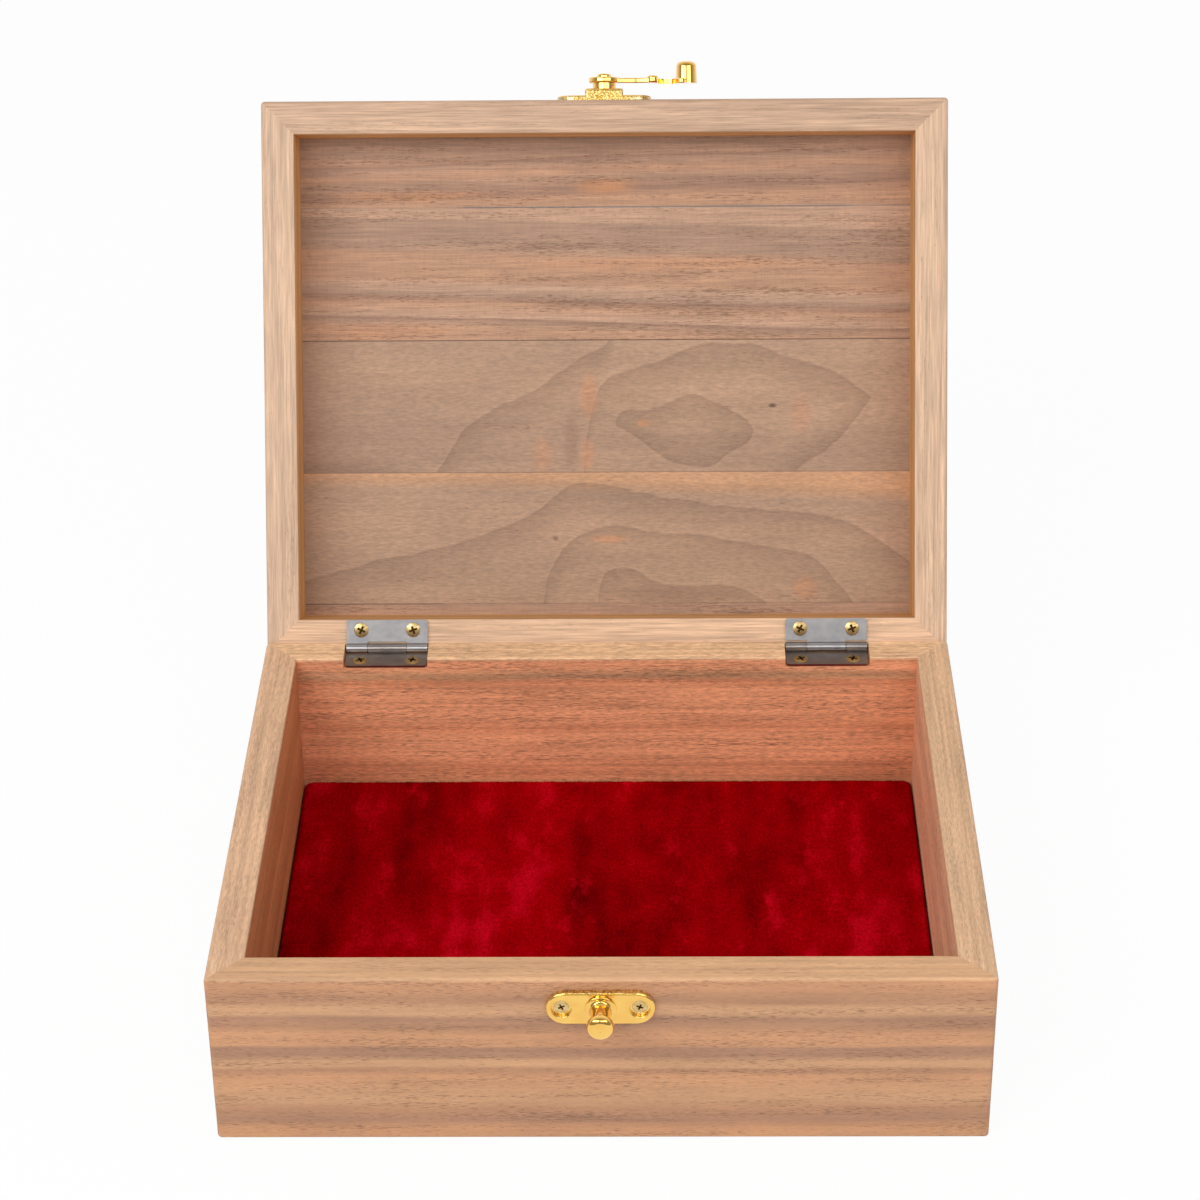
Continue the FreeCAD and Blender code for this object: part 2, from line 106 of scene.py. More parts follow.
def add(tree, kind, inputs=(), stops=(), points=(), **settings):
    """Adds one shader node. Inputs go to its sockets in order or by name: a node or socket is linked, and a
    value is set. Stops fill a colour ramp, points a float curve, and settings are the node's own
    properties."""
    made = tree.nodes.new("ShaderNode" + kind)
    for key, value in settings.items():
        setattr(made, key, value)
    for key, value in inputs.items() if isinstance(inputs, dict) else enumerate(inputs):
        if isinstance(value, bpy.types.Node):
            value = value.outputs[0]
        if isinstance(value, bpy.types.NodeSocket):
            tree.links.new(value, made.inputs[key])
        else:
            made.inputs[key].default_value = value
    for number, (position, colour) in enumerate(stops):
        elements = made.color_ramp.elements
        element = elements[number] if number < 2 else elements.new(1)
        element.position = position
        element.color = linear(colour)
    for number, place in enumerate(points):
        curve = made.mapping.curves[0].points
        point = curve[number] if number < 2 else curve.new(*place)
        point.location = place
    if points:
        made.mapping.extend = "HORIZONTAL"
        made.mapping.update()
    return made


def new_material(name):
    """An empty node material and its tree."""
    material = bpy.data.materials.new(name)
    material.use_nodes = True
    material.node_tree.nodes.clear()
    return material, material.node_tree


def dress(material, *nodes):
    """Puts a material on CAD nodes."""
    for node in nodes:
        frame["nodes"][node].material_slots[0].material = material


def node_points(node):
    """A CAD node's mesh points, one row each."""
    vertices = frame["nodes"][node].data.vertices
    points = np.empty(3 * len(vertices), np.float32)
    vertices.foreach_get("co", points)
    return points.reshape(-1, 3)


def grain_space(tree, node, along, across):
    """Object coordinates in millimetres on a board's own axes: X along the grain from its middle, Y up the
    face from its lower edge, Z out of the face from the middle of its thickness."""
    axes = Matrix((along, across, along.cross(across)))
    points = node_points(node) @ np.array(axes).T
    low, high = points.min(0), points.max(0)
    origin = Vector((low[0] + high[0], 2 * low[1], low[2] + high[2])) / 2
    place = add(tree, "TexCoord")
    return add(tree, "Mapping", [place.outputs["Object"], origin / -mm, axes.to_euler(), [1 / mm] * 3])


def streaks(tree, place, length, width, seed, detail=2.0):
    """Noise drawn out along the grain, in marks of about length by width millimetres."""
    stretch = (1 / length, 1 / width, 1 / width)
    shift = (seed * 3.7, seed * 7.1, seed * 5.3)
    drawn = add(tree, "VectorMath", [place, stretch, shift], operation="MULTIPLY_ADD")
    return add(tree, "TexNoise", {"Vector": drawn, "Scale": 1, "Detail": detail, "Roughness": 0.55})


def ribbons(tree, place, bands, seed, slope=0.0):
    """Growth bands met edge on: the height across the face, plus a lean through the thickness and slow and
    quick waves along the grain, is looked up in a list of band heights in millimetres."""
    lean, slow_wave, quick_wave = 0.6, 3.2, 1.0
    parts = add(tree, "SeparateXYZ", [place])
    climb = add(tree, "Math", [parts.outputs["X"], slope, parts.outputs["Y"]], operation="MULTIPLY_ADD")
    tipped = add(tree, "Math", [parts.outputs["Z"], lean, climb], operation="MULTIPLY_ADD")
    slow = streaks(tree, place, 110, 24, seed)
    quick = streaks(tree, place, 26, 2.5, seed + 1)
    bent = add(tree, "Math", [slow, slow_wave, tipped], operation="MULTIPLY_ADD")
    rippled = add(tree, "Math", [quick, quick_wave, bent], operation="MULTIPLY_ADD")
    span = bands[-1][0]
    first = (slow_wave + quick_wave) / 2
    share = add(tree, "MapRange", [rippled, first, first + span, 0, 1])
    return add(tree, "ValToRGB", [share], stops=[(height / span, colour) for height, colour in bands])


def finish_walnut(
    tree, place, colour, seed, pores=0.5, fibres=0.16, lines=0.12, rays=0.0, fibre_length=12, closed=0,
):
    """Oiled walnut: fibres and broader streaks lighten and darken the figure, short open pores crowd into
    bands of their own and are sunk below the surface, rays hatch it across, and the sheen is satin. Where
    closed is 1 the pores are half filled. Fibres and pores are drawn at a quarter to half a millimetre,
    coarser than real, to show."""
    fibre = streaks(tree, place, fibre_length, 0.45, seed + 2, detail=3)
    streak = streaks(tree, place, 55, 1.1, seed + 6, detail=3)
    haze = streaks(tree, place, 40, 9, seed + 3)
    fleck = streaks(tree, place, 0.8, 4, seed + 7)
    haze_strength = 0.07
    for noise, low, high, strength in (
        (fibre, 0.28, 0.72, fibres),
        (streak, 0.3, 0.7, lines),
        (haze, 0.3, 0.7, haze_strength),
        (fleck, 0.3, 0.7, rays),
    ):
        tone = add(tree, "MapRange", [noise, low, high, 1 - strength, 1 + strength])
        colour = add(tree, "MixRGB", [1, colour, tone], blend_type="MULTIPLY")
    pore = streaks(tree, place, 2.6, 0.25, seed + 4)
    crowd = streaks(tree, place, 60, 3, seed + 5)
    crowding, pore_darkness, filling = 0.55, 0.55, -0.5
    pore_start = 1.02 - 0.2 * pores
    thick = add(tree, "Math", [crowd, crowding, pore], operation="MULTIPLY_ADD")
    sunk = add(tree, "MapRange", [thick, pore_start, pore_start + 0.1, 0, 1])
    left_open = add(tree, "Math", [closed, filling, 1], operation="MULTIPLY_ADD")
    pit = add(tree, "Math", [sunk, left_open], operation="MULTIPLY")
    shown = add(tree, "Math", [pit, pore_darkness], operation="MULTIPLY")
    final = add(tree, "MixRGB", [shown, colour, linear(pore_brown)])
    height = add(tree, "Math", [pit, -1.0, fibre], operation="MULTIPLY_ADD")
    bump = add(tree, "Bump", {"Strength": 0.4, "Distance": 0.12 * mm, "Height": height})
    gloss = add(tree, "MapRange", [fibre, 0.3, 0.7, 0.5, 0.66])
    shader = add(tree, "BsdfPrincipled", {"Base Color": final, "Roughness": gloss, "Normal": bump})
    add(tree, "OutputMaterial", [shader])


def pale_rim(tree, place, colour, rim, inward, seed, rim_colour):
    """The sawn rim: within a millimetre of the rim's height the figure fades to sapwood with long streaks.
    Inward is 1 for a rim on top of the wood and -1 for one below it. Gives the colour and the share of
    sapwood."""
    fade_start, fade_end, most_sapwood = 1.1, 0.4, 0.95
    fade = [rim - fade_start * inward, rim - fade_end * inward, 0, most_sapwood]
    parts = add(tree, "SeparateXYZ", [place])
    long_streak = streaks(tree, place, 60, 1.2, seed + 8, detail=3)
    tone = add(tree, "MapRange", [long_streak, 0.3, 0.7, 0.84, 1.14])
    streaked = add(tree, "MixRGB", [1, linear(rim_colour), tone], blend_type="MULTIPLY")
    share = add(tree, "MapRange", [parts.outputs["Y"], *fade])
    return add(tree, "MixRGB", [share, colour, streaked]), share


# Each wall's grain direction, the bands on its outer and inner face, the side of the grain's Z axis that the
# inner face is on, the seed of its pattern, the colour of its rim and how strongly its grain is marked. The
# bands of one face give way to those of the other within face_blend millimetres of the wall's middle.
base_walls = {
    "base_front_wall": (sideways, front_bands, side_bands, -1, 3, "#d7a87e", 0.6),
    # The back wall's rim is painted lighter: painted light against the shade of the open lid above it.
    "base_back_wall": (sideways, side_bands, back_inside_bands, 1, 11, "#efc296", 1.9),
    "base_left_wall": (backward, side_bands, left_inside_bands, 1, 23, "#e0b590", 1.2),
    "base_right_wall": (backward, side_bands, right_inside_painted_lit_bands, -1, 37, "#dfb58e", 1.2),
}
for wall, (along, outer_bands, inner_bands, inward, seed, rim_colour, marked) in base_walls.items():
    walnut, tree = new_material("oiled_walnut_" + wall)
    place = grain_space(tree, wall, along, upright)
    outer = ribbons(tree, place, outer_bands, seed)
    inner = ribbons(tree, place, inner_bands, seed)
    through = add(tree, "SeparateXYZ", [place]).outputs["Z"]
    inside = add(tree, "MapRange", [through, -face_blend * inward, face_blend * inward, 0, 1])
    figure = add(tree, "MixRGB", [inside, outer, inner])
    rimmed, rim = pale_rim(tree, place, figure, outer_bands[-1][0], 1, seed, rim_colour)
    finish_walnut(
        tree, place, rimmed, seed,
        pores=0.8, fibres=0.15 * marked, lines=0.09 * marked, fibre_length=2.5, closed=rim,
    )
    dress(walnut, wall)


# The bottom panel: 5 mm birch plywood, glued into a rebate under the walls. Its face veneer is pale and even,
# with faint grain, and it shows only from below.
plywood, tree = new_material("birch_plywood")
place = grain_space(tree, "bottom_panel", sideways, backward)
grain = streaks(tree, place, 60, 3, 51, detail=4)
figure = add(tree, "ValToRGB", [grain], stops=[(0.3, "#c9a67c"), (0.7, "#dcc09a")])
bump = add(tree, "Bump", {"Strength": 0.2, "Distance": 0.1 * mm, "Height": grain})
shader = add(tree, "BsdfPrincipled", {"Base Color": figure, "Roughness": 0.7, "Normal": bump})
add(tree, "OutputMaterial", [shader])
dress(plywood, "bottom_panel")


# The lining board: 3.4 mm grey card, cut to the box's inside, that stiffens the velvet and lies on the bottom
# panel. Pulp flecks mottle it, and the cloth hides it.
card, tree = new_material("grey_card")
place = grain_space(tree, "lining_board", sideways, backward)
pulp = streaks(tree, place, 1.2, 0.8, 61, detail=4)
figure = add(tree, "ValToRGB", [pulp], stops=[(0.35, "#8f8a82"), (0.65, "#a8a297")])
shader = add(tree, "BsdfPrincipled", {"Base Color": figure, "Roughness": 0.9})
add(tree, "OutputMaterial", [shader])
dress(card, "lining_board")


# The velvet lining: one piece of deep red cut-pile velvet, drawn over the card and glued down its edges. Its
# corners are rounded, its edges roll over, and the pile is crushed in patches and stands out as fuzz at the
# edge.
velvet_low, velvet_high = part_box("velvet_lining")
velvet_half = (velvet_high - velvet_low).xy / 2
velvet_corner = 0.8 * mm
velvet_roll = 1.0 * mm
wave_room = 0.1 * mm
hem_gap = 0.2 * mm
velvet_top = velvet_high.z - wave_room
velvet_drop = velvet_top - velvet_roll - velvet_low.z - hem_gap
velvet_step = 1.5 * mm
velvet_thickness = 0.8 * mm
velvet_wave = 0.11 * mm
# Of the velvet colours below, the darkest is painted shade and the brighter crimsons are painted sheen, for
# where the pile leans away from or towards the light; the mid red is the cloth's own.
velvet_painted_shade = "#600002"
velvet_red = "#8a0004"
velvet_painted_sheen = "#9c0007"
velvet_painted_crushed_sheen = "#bc061a"
crinkle_painted_sheen_crimson = "#d00a20"
sheen_crimson = "#b40012"


def velvet_line(half):
    """Distances from the middle of the flat cloth along one side: even steps over the top, finer ones through
    the corner and the roll, then the hem."""
    inner = half - velvet_roll - velvet_corner
    arc = velvet_roll * math.pi / 2
    ends = np.cumsum([inner, velvet_corner, arc, velvet_drop])
    counts = [int(inner / velvet_step), 5, 9, 4]
    starts = [0, *ends[:-1]]
    out = np.concatenate([np.linspace(s, e, n, endpoint=False) for s, e, n in zip(starts, ends, counts)])
    out = np.append(out, ends[-1])
    return np.concatenate([-out[:0:-1], out])


def velvet_wrap(a, b):
    """Flat cloth point (a, b) on the card: square rings past the corner centres become round ones, and beyond
    the outline the cloth turns a quarter round and hangs down. The top waves by a tenth or two of a
    millimetre: a long wave, a slanting one and a short one are added up."""
    flat = np.stack([a, b], -1)
    inner = np.array(velvet_half) - velvet_roll - velvet_corner
    past = np.maximum(np.abs(flat) - inner, 0)
    ring = past.max(-1, keepdims=True)
    scaled = past * np.minimum(ring, velvet_corner) / np.maximum(ring, 1e-9)
    round_off = np.sqrt(1 - (scaled[..., ::-1] / velvet_corner) ** 2 / 2)
    corner = scaled * round_off
    beyond = np.maximum(ring - velvet_corner, 0)
    turn = np.minimum(beyond / velvet_roll, math.pi / 2)
    reach = corner / velvet_corner * velvet_roll * np.sin(turn)
    ground = np.sign(flat) * (np.minimum(np.abs(flat), inner) + corner + reach)
    fall = velvet_roll * (1 - np.cos(turn)) + np.maximum(beyond - velvet_roll * math.pi / 2, 0)
    x, y = ground[..., 0] / mm, ground[..., 1] / mm
    long_wave = np.sin(x / 17 + 0.8) * np.cos(y / 21 - 0.4)
    cross_wave = 0.6 * np.sin(x / 8.3 - y / 11.1)
    short_wave = 0.4 * np.cos(y / 6.1 + x / 29)
    wave = long_wave + cross_wave + short_wave
    lift = velvet_wave * wave * np.cos(turn[..., 0])
    return np.concatenate([ground, (velvet_top + lift)[..., None] - fall], -1)


def grid_piece(name, points):
    """A smooth mesh piece from a grid of points, one quad for each cell, with its faces on the side that
    the grid's first direction crossed with its second points to."""
    rows, columns = points.shape[:2]
    index = np.arange(rows * columns).reshape(rows, columns)
    quads = np.stack([index[:-1, :-1], index[1:, :-1], index[1:, 1:], index[:-1, 1:]], -1).reshape(-1, 4)
    mesh = bpy.data.meshes.new(name)
    mesh.from_pydata(points.reshape(-1, 3), [], quads)
    mesh.polygons.foreach_set("use_smooth", np.ones(len(quads), bool))
    piece = bpy.data.objects.new(name, mesh)
    bpy.context.scene.collection.objects.link(piece)
    return piece


line_a, line_b = velvet_line(velvet_half.x), velvet_line(velvet_half.y)
velvet = grid_piece("velvet_cloth", velvet_wrap(*np.meshgrid(line_a, line_b, indexing="ij")))
thickness = velvet.modifiers.new("cloth_thickness", "SOLIDIFY")
thickness.thickness = velvet_thickness
thickness.offset = -1

# Cut-pile velvet: almost no gloss, a crimson sheen at grazing angles, and patches where the crushed pile
# leans towards the light or away from it, painted into the colour as painted sheen and painted shade. The
# patches run a little with the weave, front to back. Crinkles get painted sheen in a brighter crimson, and
# the pile a fine speckle of painted sheen and shade.
velvet_cloth, tree = new_material("cut_pile_velvet")
place = grain_space(tree, "velvet_lining", backward, sideways)
patches = streaks(tree, place, 130, 20, 71, detail=2)
brushed = streaks(tree, place, 16, 9, 72, detail=3)
crinkled = streaks(tree, place, 18, 9, 75, detail=6)
pile = streaks(tree, place, 1.2, 0.8, 73, detail=3)
mixed = add(tree, "Math", [brushed, 0.6, patches], operation="MULTIPLY_ADD")
# The pile's lay: the mask for the painted sheen and painted shade in the colour.
painted_sheen_lay = add(tree, "MapRange", [mixed, 0.5, 1.04, 0, 1])
# Crinkles: a mask for painted sheen.
crinkle_painted_sheen_mask = add(tree, "MapRange", [crinkled, 0.6, 0.76, 0, 0.6])
figure = add(tree, "ValToRGB", [painted_sheen_lay], stops=[
    (0, velvet_painted_shade), (0.45, velvet_red), (0.75, velvet_painted_sheen), (1, velvet_painted_crushed_sheen),
])
creased = add(tree, "MixRGB", [crinkle_painted_sheen_mask, figure, linear(crinkle_painted_sheen_crimson)])
# A fine speckle of painted sheen and shade on the pile.
tone = add(tree, "MapRange", [pile, 0.2, 0.8, 0.55, 1.45])
toned = add(tree, "MixRGB", [1, creased, tone], blend_type="MULTIPLY")
height = add(tree, "Math", [pile, 0.25, brushed], operation="MULTIPLY_ADD")
bump = add(tree, "Bump", {"Strength": 0.5, "Distance": 0.5 * mm, "Height": height})
shader = add(tree, "BsdfPrincipled", {
    "Base Color": toned,
    "Roughness": 0.9,
    "Specular IOR Level": 0.0,
    "Sheen Weight": 0.12,
    "Sheen Roughness": 0.4,
    "Sheen Tint": linear(sheen_crimson),
    "Normal": bump,
})
add(tree, "OutputMaterial", [shader])
velvet.data.materials.append(velvet_cloth)

# The fuzz at the rolled edge: fine tufts of pile, each a thin spike that leans out from the roll. The spikes
# are thicker than real pile, to show, and their feet lie a little inside the roll.
tuft_count = 11000
tuft_radius = 0.07 * mm
tuft_shortest, tuft_longest = 0.25 * mm, 0.6 * mm
tuft_spread = 0.35
foot_depth = 0.97
first_angle, last_angle = 0.3, 1.5
chance = np.random.default_rng(7)
inner = np.array(velvet_half) - velvet_roll
side = chance.integers(0, 4, tuft_count)
share = chance.uniform(-1, 1, tuft_count)
roll_angle = chance.uniform(first_angle, last_angle, tuft_count)
long_side = side < 2
outward = np.where(long_side[:, None], [[0, 1]], [[1, 0]]) * np.where(side % 2 == 0, 1, -1)[:, None]
along_side = np.where(long_side[:, None], share[:, None] * [[1, 0]], share[:, None] * [[0, 1]])
foot = along_side * (inner - velvet_corner)
foot = foot + outward * (inner + velvet_roll * np.sin(roll_angle)[:, None] * foot_depth)
foot = np.column_stack([foot, velvet_top - velvet_roll * (1 - np.cos(roll_angle)) * foot_depth])
normal = np.column_stack([outward * np.sin(roll_angle)[:, None], np.cos(roll_angle)])
lean = normal + chance.normal(0, tuft_spread, (tuft_count, 3))
lean /= np.linalg.norm(lean, axis=1, keepdims=True)
tip = foot + lean * chance.uniform(tuft_shortest, tuft_longest, tuft_count)[:, None]
edge = np.cross(lean, chance.normal(size=(tuft_count, 3)))
edge /= np.linalg.norm(edge, axis=1, keepdims=True)
third = np.cross(lean, edge)
thirds_of_turn = (0, 2.094, 4.189)
corners = [foot + tuft_radius * (math.cos(t) * edge + math.sin(t) * third) for t in thirds_of_turn]
spikes = np.stack([*corners, tip], 1)
first = np.arange(tuft_count)[:, None] * 4
faces = np.concatenate([first + f for f in ([0, 1, 3], [1, 2, 3], [2, 0, 3], [2, 1, 0])])
mesh = bpy.data.meshes.new("velvet_edge_pile")
mesh.from_pydata(spikes.reshape(-1, 3), [], faces)
edge_pile = bpy.data.objects.new("velvet_edge_pile", mesh)
bpy.context.scene.collection.objects.link(edge_pile)
mesh.materials.append(velvet_cloth)
for piece in (velvet, edge_pile):
    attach(piece, "base")
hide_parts("velvet_lining")


# The lid's four rails: the same walnut as the walls, mitred, with the grain along each rail. Their axes lie
# on the open lid, so the grain follows the lid and not the room. Inside the recess the wood is warmer.
joints = {joint["name"]: joint for joint in frame["joints"]}
lid_up = Vector(joints["hook_swing"]["axis"])
lid_out = lid_up.cross(sideways)
recess_depth = 19
rail_tan = "#dca96b"
rail_orange = "#d9a165"
rail_brown = "#ca945e"
# Bands of the faces in the recess, in millimetres from the rim towards the lid's outside.
rail_bands = [
    (0.0, rail_tan), (5.0, rail_brown), (7.0, rail_orange), (12.0, rail_tan), (14.0, rail_brown),
    (19.0, rail_orange), (23.0, rail_tan), (27.0, rail_brown),
]
# Each rail's grain direction, the side of the grain's Z axis that the recess is on, the seed of its pattern
# and the colour of its rim.
lid_rails = {
    "lid_front_rail": (sideways, -1, 41, "#cba78b"),
    "lid_back_rail": (sideways, 1, 43, "#e4bd9b"),
    "lid_left_rail": (lid_up, -1, 47, "#d7b497"),
    "lid_right_rail": (lid_up, 1, 53, "#dcb899"),
}
for rail, (along, inward, seed, rim_colour) in lid_rails.items():
    walnut, tree = new_material("oiled_walnut_" + rail)
    place = grain_space(tree, rail, along, lid_out)
    outer = ribbons(tree, place, side_bands, seed)
    inner = ribbons(tree, place, rail_bands, seed)
    parts = add(tree, "SeparateXYZ", [place])
    blend = [-face_blend * inward, face_blend * inward, 0, 1]
    nearer = add(tree, "MapRange", [parts.outputs["Z"], *blend])
    seen = add(tree, "MapRange", [parts.outputs["Y"], recess_depth, recess_depth + 1, 1, 0])
    inside = add(tree, "Math", [nearer, seen], operation="MULTIPLY")
    figure = add(tree, "MixRGB", [inside, outer, inner])
    rimmed, rim = pale_rim(tree, place, figure, 0, -1, seed, rim_colour)
    finish_walnut(tree, place, rimmed, seed, fibres=0.22, closed=rim)
    dress(walnut, rail)


# The lid panel: five walnut boards glued edge to edge and set into the rails. The two at the lid's front are
# cut on the quarter and run in ribbons, and the wide ones by the hinge are cut flat and show arched growth
# rings.
board_tan = "#bf987d"
board_orange = "#bc9071"
board_brown = "#b08a70"
board_grey = "#ab8870"
board_dark = "#a07a63"
board_flat = "#bd987c"
# Bands of each board as (height, colour), in millimetres from its edge nearer the hinge.
board_bands = {
    "lid_board_1": [
        (0.0, board_brown), (3.0, board_orange), (6.0, board_orange), (8.0, board_dark),
        (12.0, board_brown), (14.0, board_orange), (17.0, board_grey), (18.0, board_dark),
        (18.6, board_brown), (22.0, board_grey), (26.9, board_grey),
    ],
    "lid_board_2": [
        (0.0, board_orange), (5.0, board_orange), (7.0, board_brown), (8.0, board_dark), (8.5, board_tan),
        (12.5, board_orange), (14.3, board_dark), (15.0, board_grey), (18.0, board_tan),
        (20.0, board_orange), (27.5, board_orange), (29.0, board_brown), (31.0, board_grey),
        (38.6, board_grey), (39.4, board_tan), (41.3, board_tan),
    ],
    "lid_board_3": [
        (0.0, board_flat), (12.0, "#b49076"), (20.0, board_flat), (30.0, "#c19a7d"), (41.3, board_flat),
    ],
    "lid_board_4": [
        (0.0, board_flat), (14.0, board_flat), (26.0, "#c59d80"), (36.5, board_flat), (40.0, "#d09f78"),
        (41.3, "#dba67c"),
    ],
    "lid_board_5": [(0.0, board_brown), (4.0, board_orange), (8.3, board_brown)],
}
# Growth rings as points (along, up) in millimetres: the crest of each arch, and the line that closes it
# below.
no_floor = [(-100, -60), (100, -60)]
board_rings = {
    "lid_board_3": [
        ([(-100, -30), (-54, 0), (-49, 7.4), (-42, 16), (-34, 21), (-29, 22.7), (-21, 27), (-12, 33),
          (-6, 37.3), (0, 40), (6, 60), (100, 60)], no_floor),
        ([(-100, -60), (-9, -8), (-6, 12), (0, 29), (8, 32.5), (17, 35), (27, 39), (37, 40), (47, 39.5),
          (53, 37), (63, 34.4), (75, 29.5), (83, 23), (100, 5)],
         [(-100, -60), (52, -9), (60, 0.6), (70, 7.5), (76, 14), (83, 23), (100, 50)]),
        ([(-100, -60), (1.5, 9), (4, 18.5), (7, 20), (12, 19.5), (21, 22.7), (27, 24.3), (33, 22),
          (39.5, 19), (45, 15.5), (47.5, 9), (100, -40)],
         [(-100, 60), (1.5, 20), (3, 14.6), (5.5, 13), (9.8, 10.6), (14.3, 7), (20.6, 2.6), (27, 1.1),
          (33, 1.5), (38, 5.5), (45, 10), (47.5, 17), (100, 60)]),
    ],
    "lid_board_4": [
        ([(-100, 6), (-78, 12), (-58, 17), (-45, 20), (-29, 25.6), (-21, 30), (-16, 34.4), (-11, 37),
          (-3, 37.8), (4, 36.3), (12, 34), (32, 31.5), (58, 28.5), (67, 27.5), (75, 25.6), (81, 22.5),
          (100, 9)], no_floor),
        ([(-100, -60), (-21, -5), (-19, 7.5), (-16.5, 13), (-12, 19), (-6, 23), (0.4, 24.4), (17, 22),
          (27, 21.5), (46, 18.8), (63, 15.3), (67, 12.5), (71, 8), (77, 1), (100, -40)], no_floor),
        ([(-100, -60), (-4, -6), (-2, 6.3), (0.4, 10), (5.4, 11.3), (9.8, 10.3), (14, 7.5), (20.6, 5.6),
          (34, 6.5), (41, 5), (51, -1), (100, -40)], no_floor),
    ],
}
# Coloured places as (along, up, radii, colour, strength): orange heartwood, dark knots and reddish stain.
board_spots = {
    "lid_board_1": [(0, 7, 12, 3, "#cf8f5f", 0.6), (-60, 4, 30, 1.6, "#cf9468", 0.6)],
    "lid_board_2": [(20, 24, 60, 3, "#c98f69", 0.4), (-70, 3, 25, 3, "#c98f69", 0.5)],
    "lid_board_3": [
        (11.7, 15.5, 3, 1.6, "#c98c62", 0.6), (52, 20.5, 1.6, 1.0, "#5e3d2c", 0.8),
        (-5.5, 24, 3.5, 9, "#c48b66", 0.7), (61, 18, 4, 7, "#c08a68", 0.5),
        (-6, 5, 3, 7, "#c48b66", 0.6), (-20, 5, 4, 7, "#c48b66", 0.5),
        (-11, 9, 3, 12, "#8d6b54", 0.4), (-90, 0, 38, 6, "#8c6c5a", 0.5),
    ],
    "lid_board_4": [
        (0.4, 20, 7, 2, "#cd8f64", 0.6), (62, 5, 5, 5, "#c98c62", 0.5), (20, 2, 26, 4, "#8f6a55", 0.4),
        (-16, 20, 1.2, 1.0, "#6b4733", 0.6),
    ],
}
# The glue line under each board: where along it the line starts and ends, its width and its colour.
seam_strength, faint_share, seam_fade = 0.85, 0.4, 4
board_seams = {
    "lid_board_1": (-47, 80, 0.6, "#74716f"),
    "lid_board_2": (-110, 110, 0.4, "#5b4030"),
    "lid_board_3": (-110, 110, 0.3, "#8a6a55"),
    "lid_board_4": (-110, -50, 0.4, "#5c4132"),
}


def ring_depth(tree, along, up, crest, floor_line):
    """How far a place lies inside a ring, in millimetres: below its crest and above the line that closes it,
    both drawn as curves of the length."""
    reach, rise = 100, 60
    share = add(tree, "MapRange", [along, -reach, reach, 0, 1])
    heights = []
    for line in (crest, floor_line):
        places = [((a + reach) / (2 * reach), (h + rise) / (2 * rise)) for a, h in line]
        curve = add(tree, "FloatCurve", [1, share], points=places)
        heights.append(add(tree, "MapRange", [curve, 0, 1, -rise, rise]))
    below = add(tree, "Math", [heights[0], up], operation="SUBTRACT")
    above = add(tree, "Math", [up, heights[1]], operation="SUBTRACT")
    return add(tree, "Math", [below, above], operation="MINIMUM")


def oval_depth(tree, along, up, oval):
    """How far a place lies inside an oval, in millimetres, from its distance in radii to the middle."""
    middle_along, middle_up, long_radius, high_radius = oval
    spot = add(tree, "CombineXYZ", [along, up, 0])
    moved = add(tree, "VectorMath", [spot, (middle_along, middle_up, 0)], operation="SUBTRACT")
    scaled = add(tree, "VectorMath", [moved, (1 / long_radius, 1 / high_radius, 0)], operation="MULTIPLY")
    radii = add(tree, "VectorMath", [scaled], operation="LENGTH")
    return add(tree, "MapRange", [radii.outputs["Value"], 0, 1, high_radius, 0], clamp=False)


first_seed = 61
ring_start, ring_end = -2, 12
for seed, (board, bands) in enumerate(board_bands.items(), first_seed):
    walnut, tree = new_material("oiled_walnut_" + board)
    place = grain_space(tree, board, sideways, lid_up)
    figure = ribbons(tree, place, bands, seed, slope=-0.03 if board == "lid_board_1" else 0.03)
    parts = add(tree, "SeparateXYZ", [place])
    along = parts.outputs["X"]
    sway = streaks(tree, place, 26, 9, seed + 9)
    ripple = streaks(tree, place, 7, 1.6, seed + 10)
    sway_height, ripple_height = 3, 1.2
    swayed = add(tree, "Math", [sway, sway_height, parts.outputs["Y"]], operation="MULTIPLY_ADD")
    rippled = add(tree, "Math", [ripple, ripple_height, swayed], operation="MULTIPLY_ADD")
    up = add(tree, "Math", [rippled, (sway_height + ripple_height) / 2], operation="SUBTRACT")
    for crest, floor_line in board_rings.get(board, []):
        depth = ring_depth(tree, along, up, crest, floor_line)
        share = add(tree, "MapRange", [depth, ring_start, ring_end, 0, 1])
        shade = add(tree, "ValToRGB", [share], stops=[
            (0, "#fafafa"), (0.13, "#ffffff"), (0.18, "#dfdcdb"), (0.24, "#e6e4e2"), (0.5, "#efeeec"),
            (1, "#fcfcfb"),
        ])
        figure = add(tree, "MixRGB", [1, figure, shade], blend_type="MULTIPLY")
    for at_along, at_up, long_radius, high_radius, colour, strength in board_spots.get(board, []):
        inside = oval_depth(tree, along, up, (at_along, at_up, long_radius, high_radius))
        share = add(tree, "MapRange", [inside, 0, 0.6 * high_radius, 0, strength])
        figure = add(tree, "MixRGB", [share, figure, linear(colour)])
    if board in board_seams:
        start, end, width, colour = board_seams[board]
        near_edge = add(tree, "MapRange", [parts.outputs["Y"], width * 0.5, width, seam_strength, 0])
        past_start = add(tree, "MapRange", [along, start, start + seam_fade, faint_share, 1])
        before_end = add(tree, "MapRange", [along, end - seam_fade, end, 1, faint_share])
        inside = add(tree, "Math", [past_start, before_end], operation="MULTIPLY")
        share = add(tree, "Math", [near_edge, inside], operation="MULTIPLY")
        figure = add(tree, "MixRGB", [share, figure, linear(colour)])
    if board in board_rings:
        finish_walnut(
            tree, place, figure, seed, pores=0.25, fibres=0.19, lines=0.04, rays=0.02, fibre_length=2.2,
        )
    else:
        finish_walnut(tree, place, figure, seed, pores=0.7, fibres=0.18, lines=0.12, rays=0.045)
    dress(walnut, board)


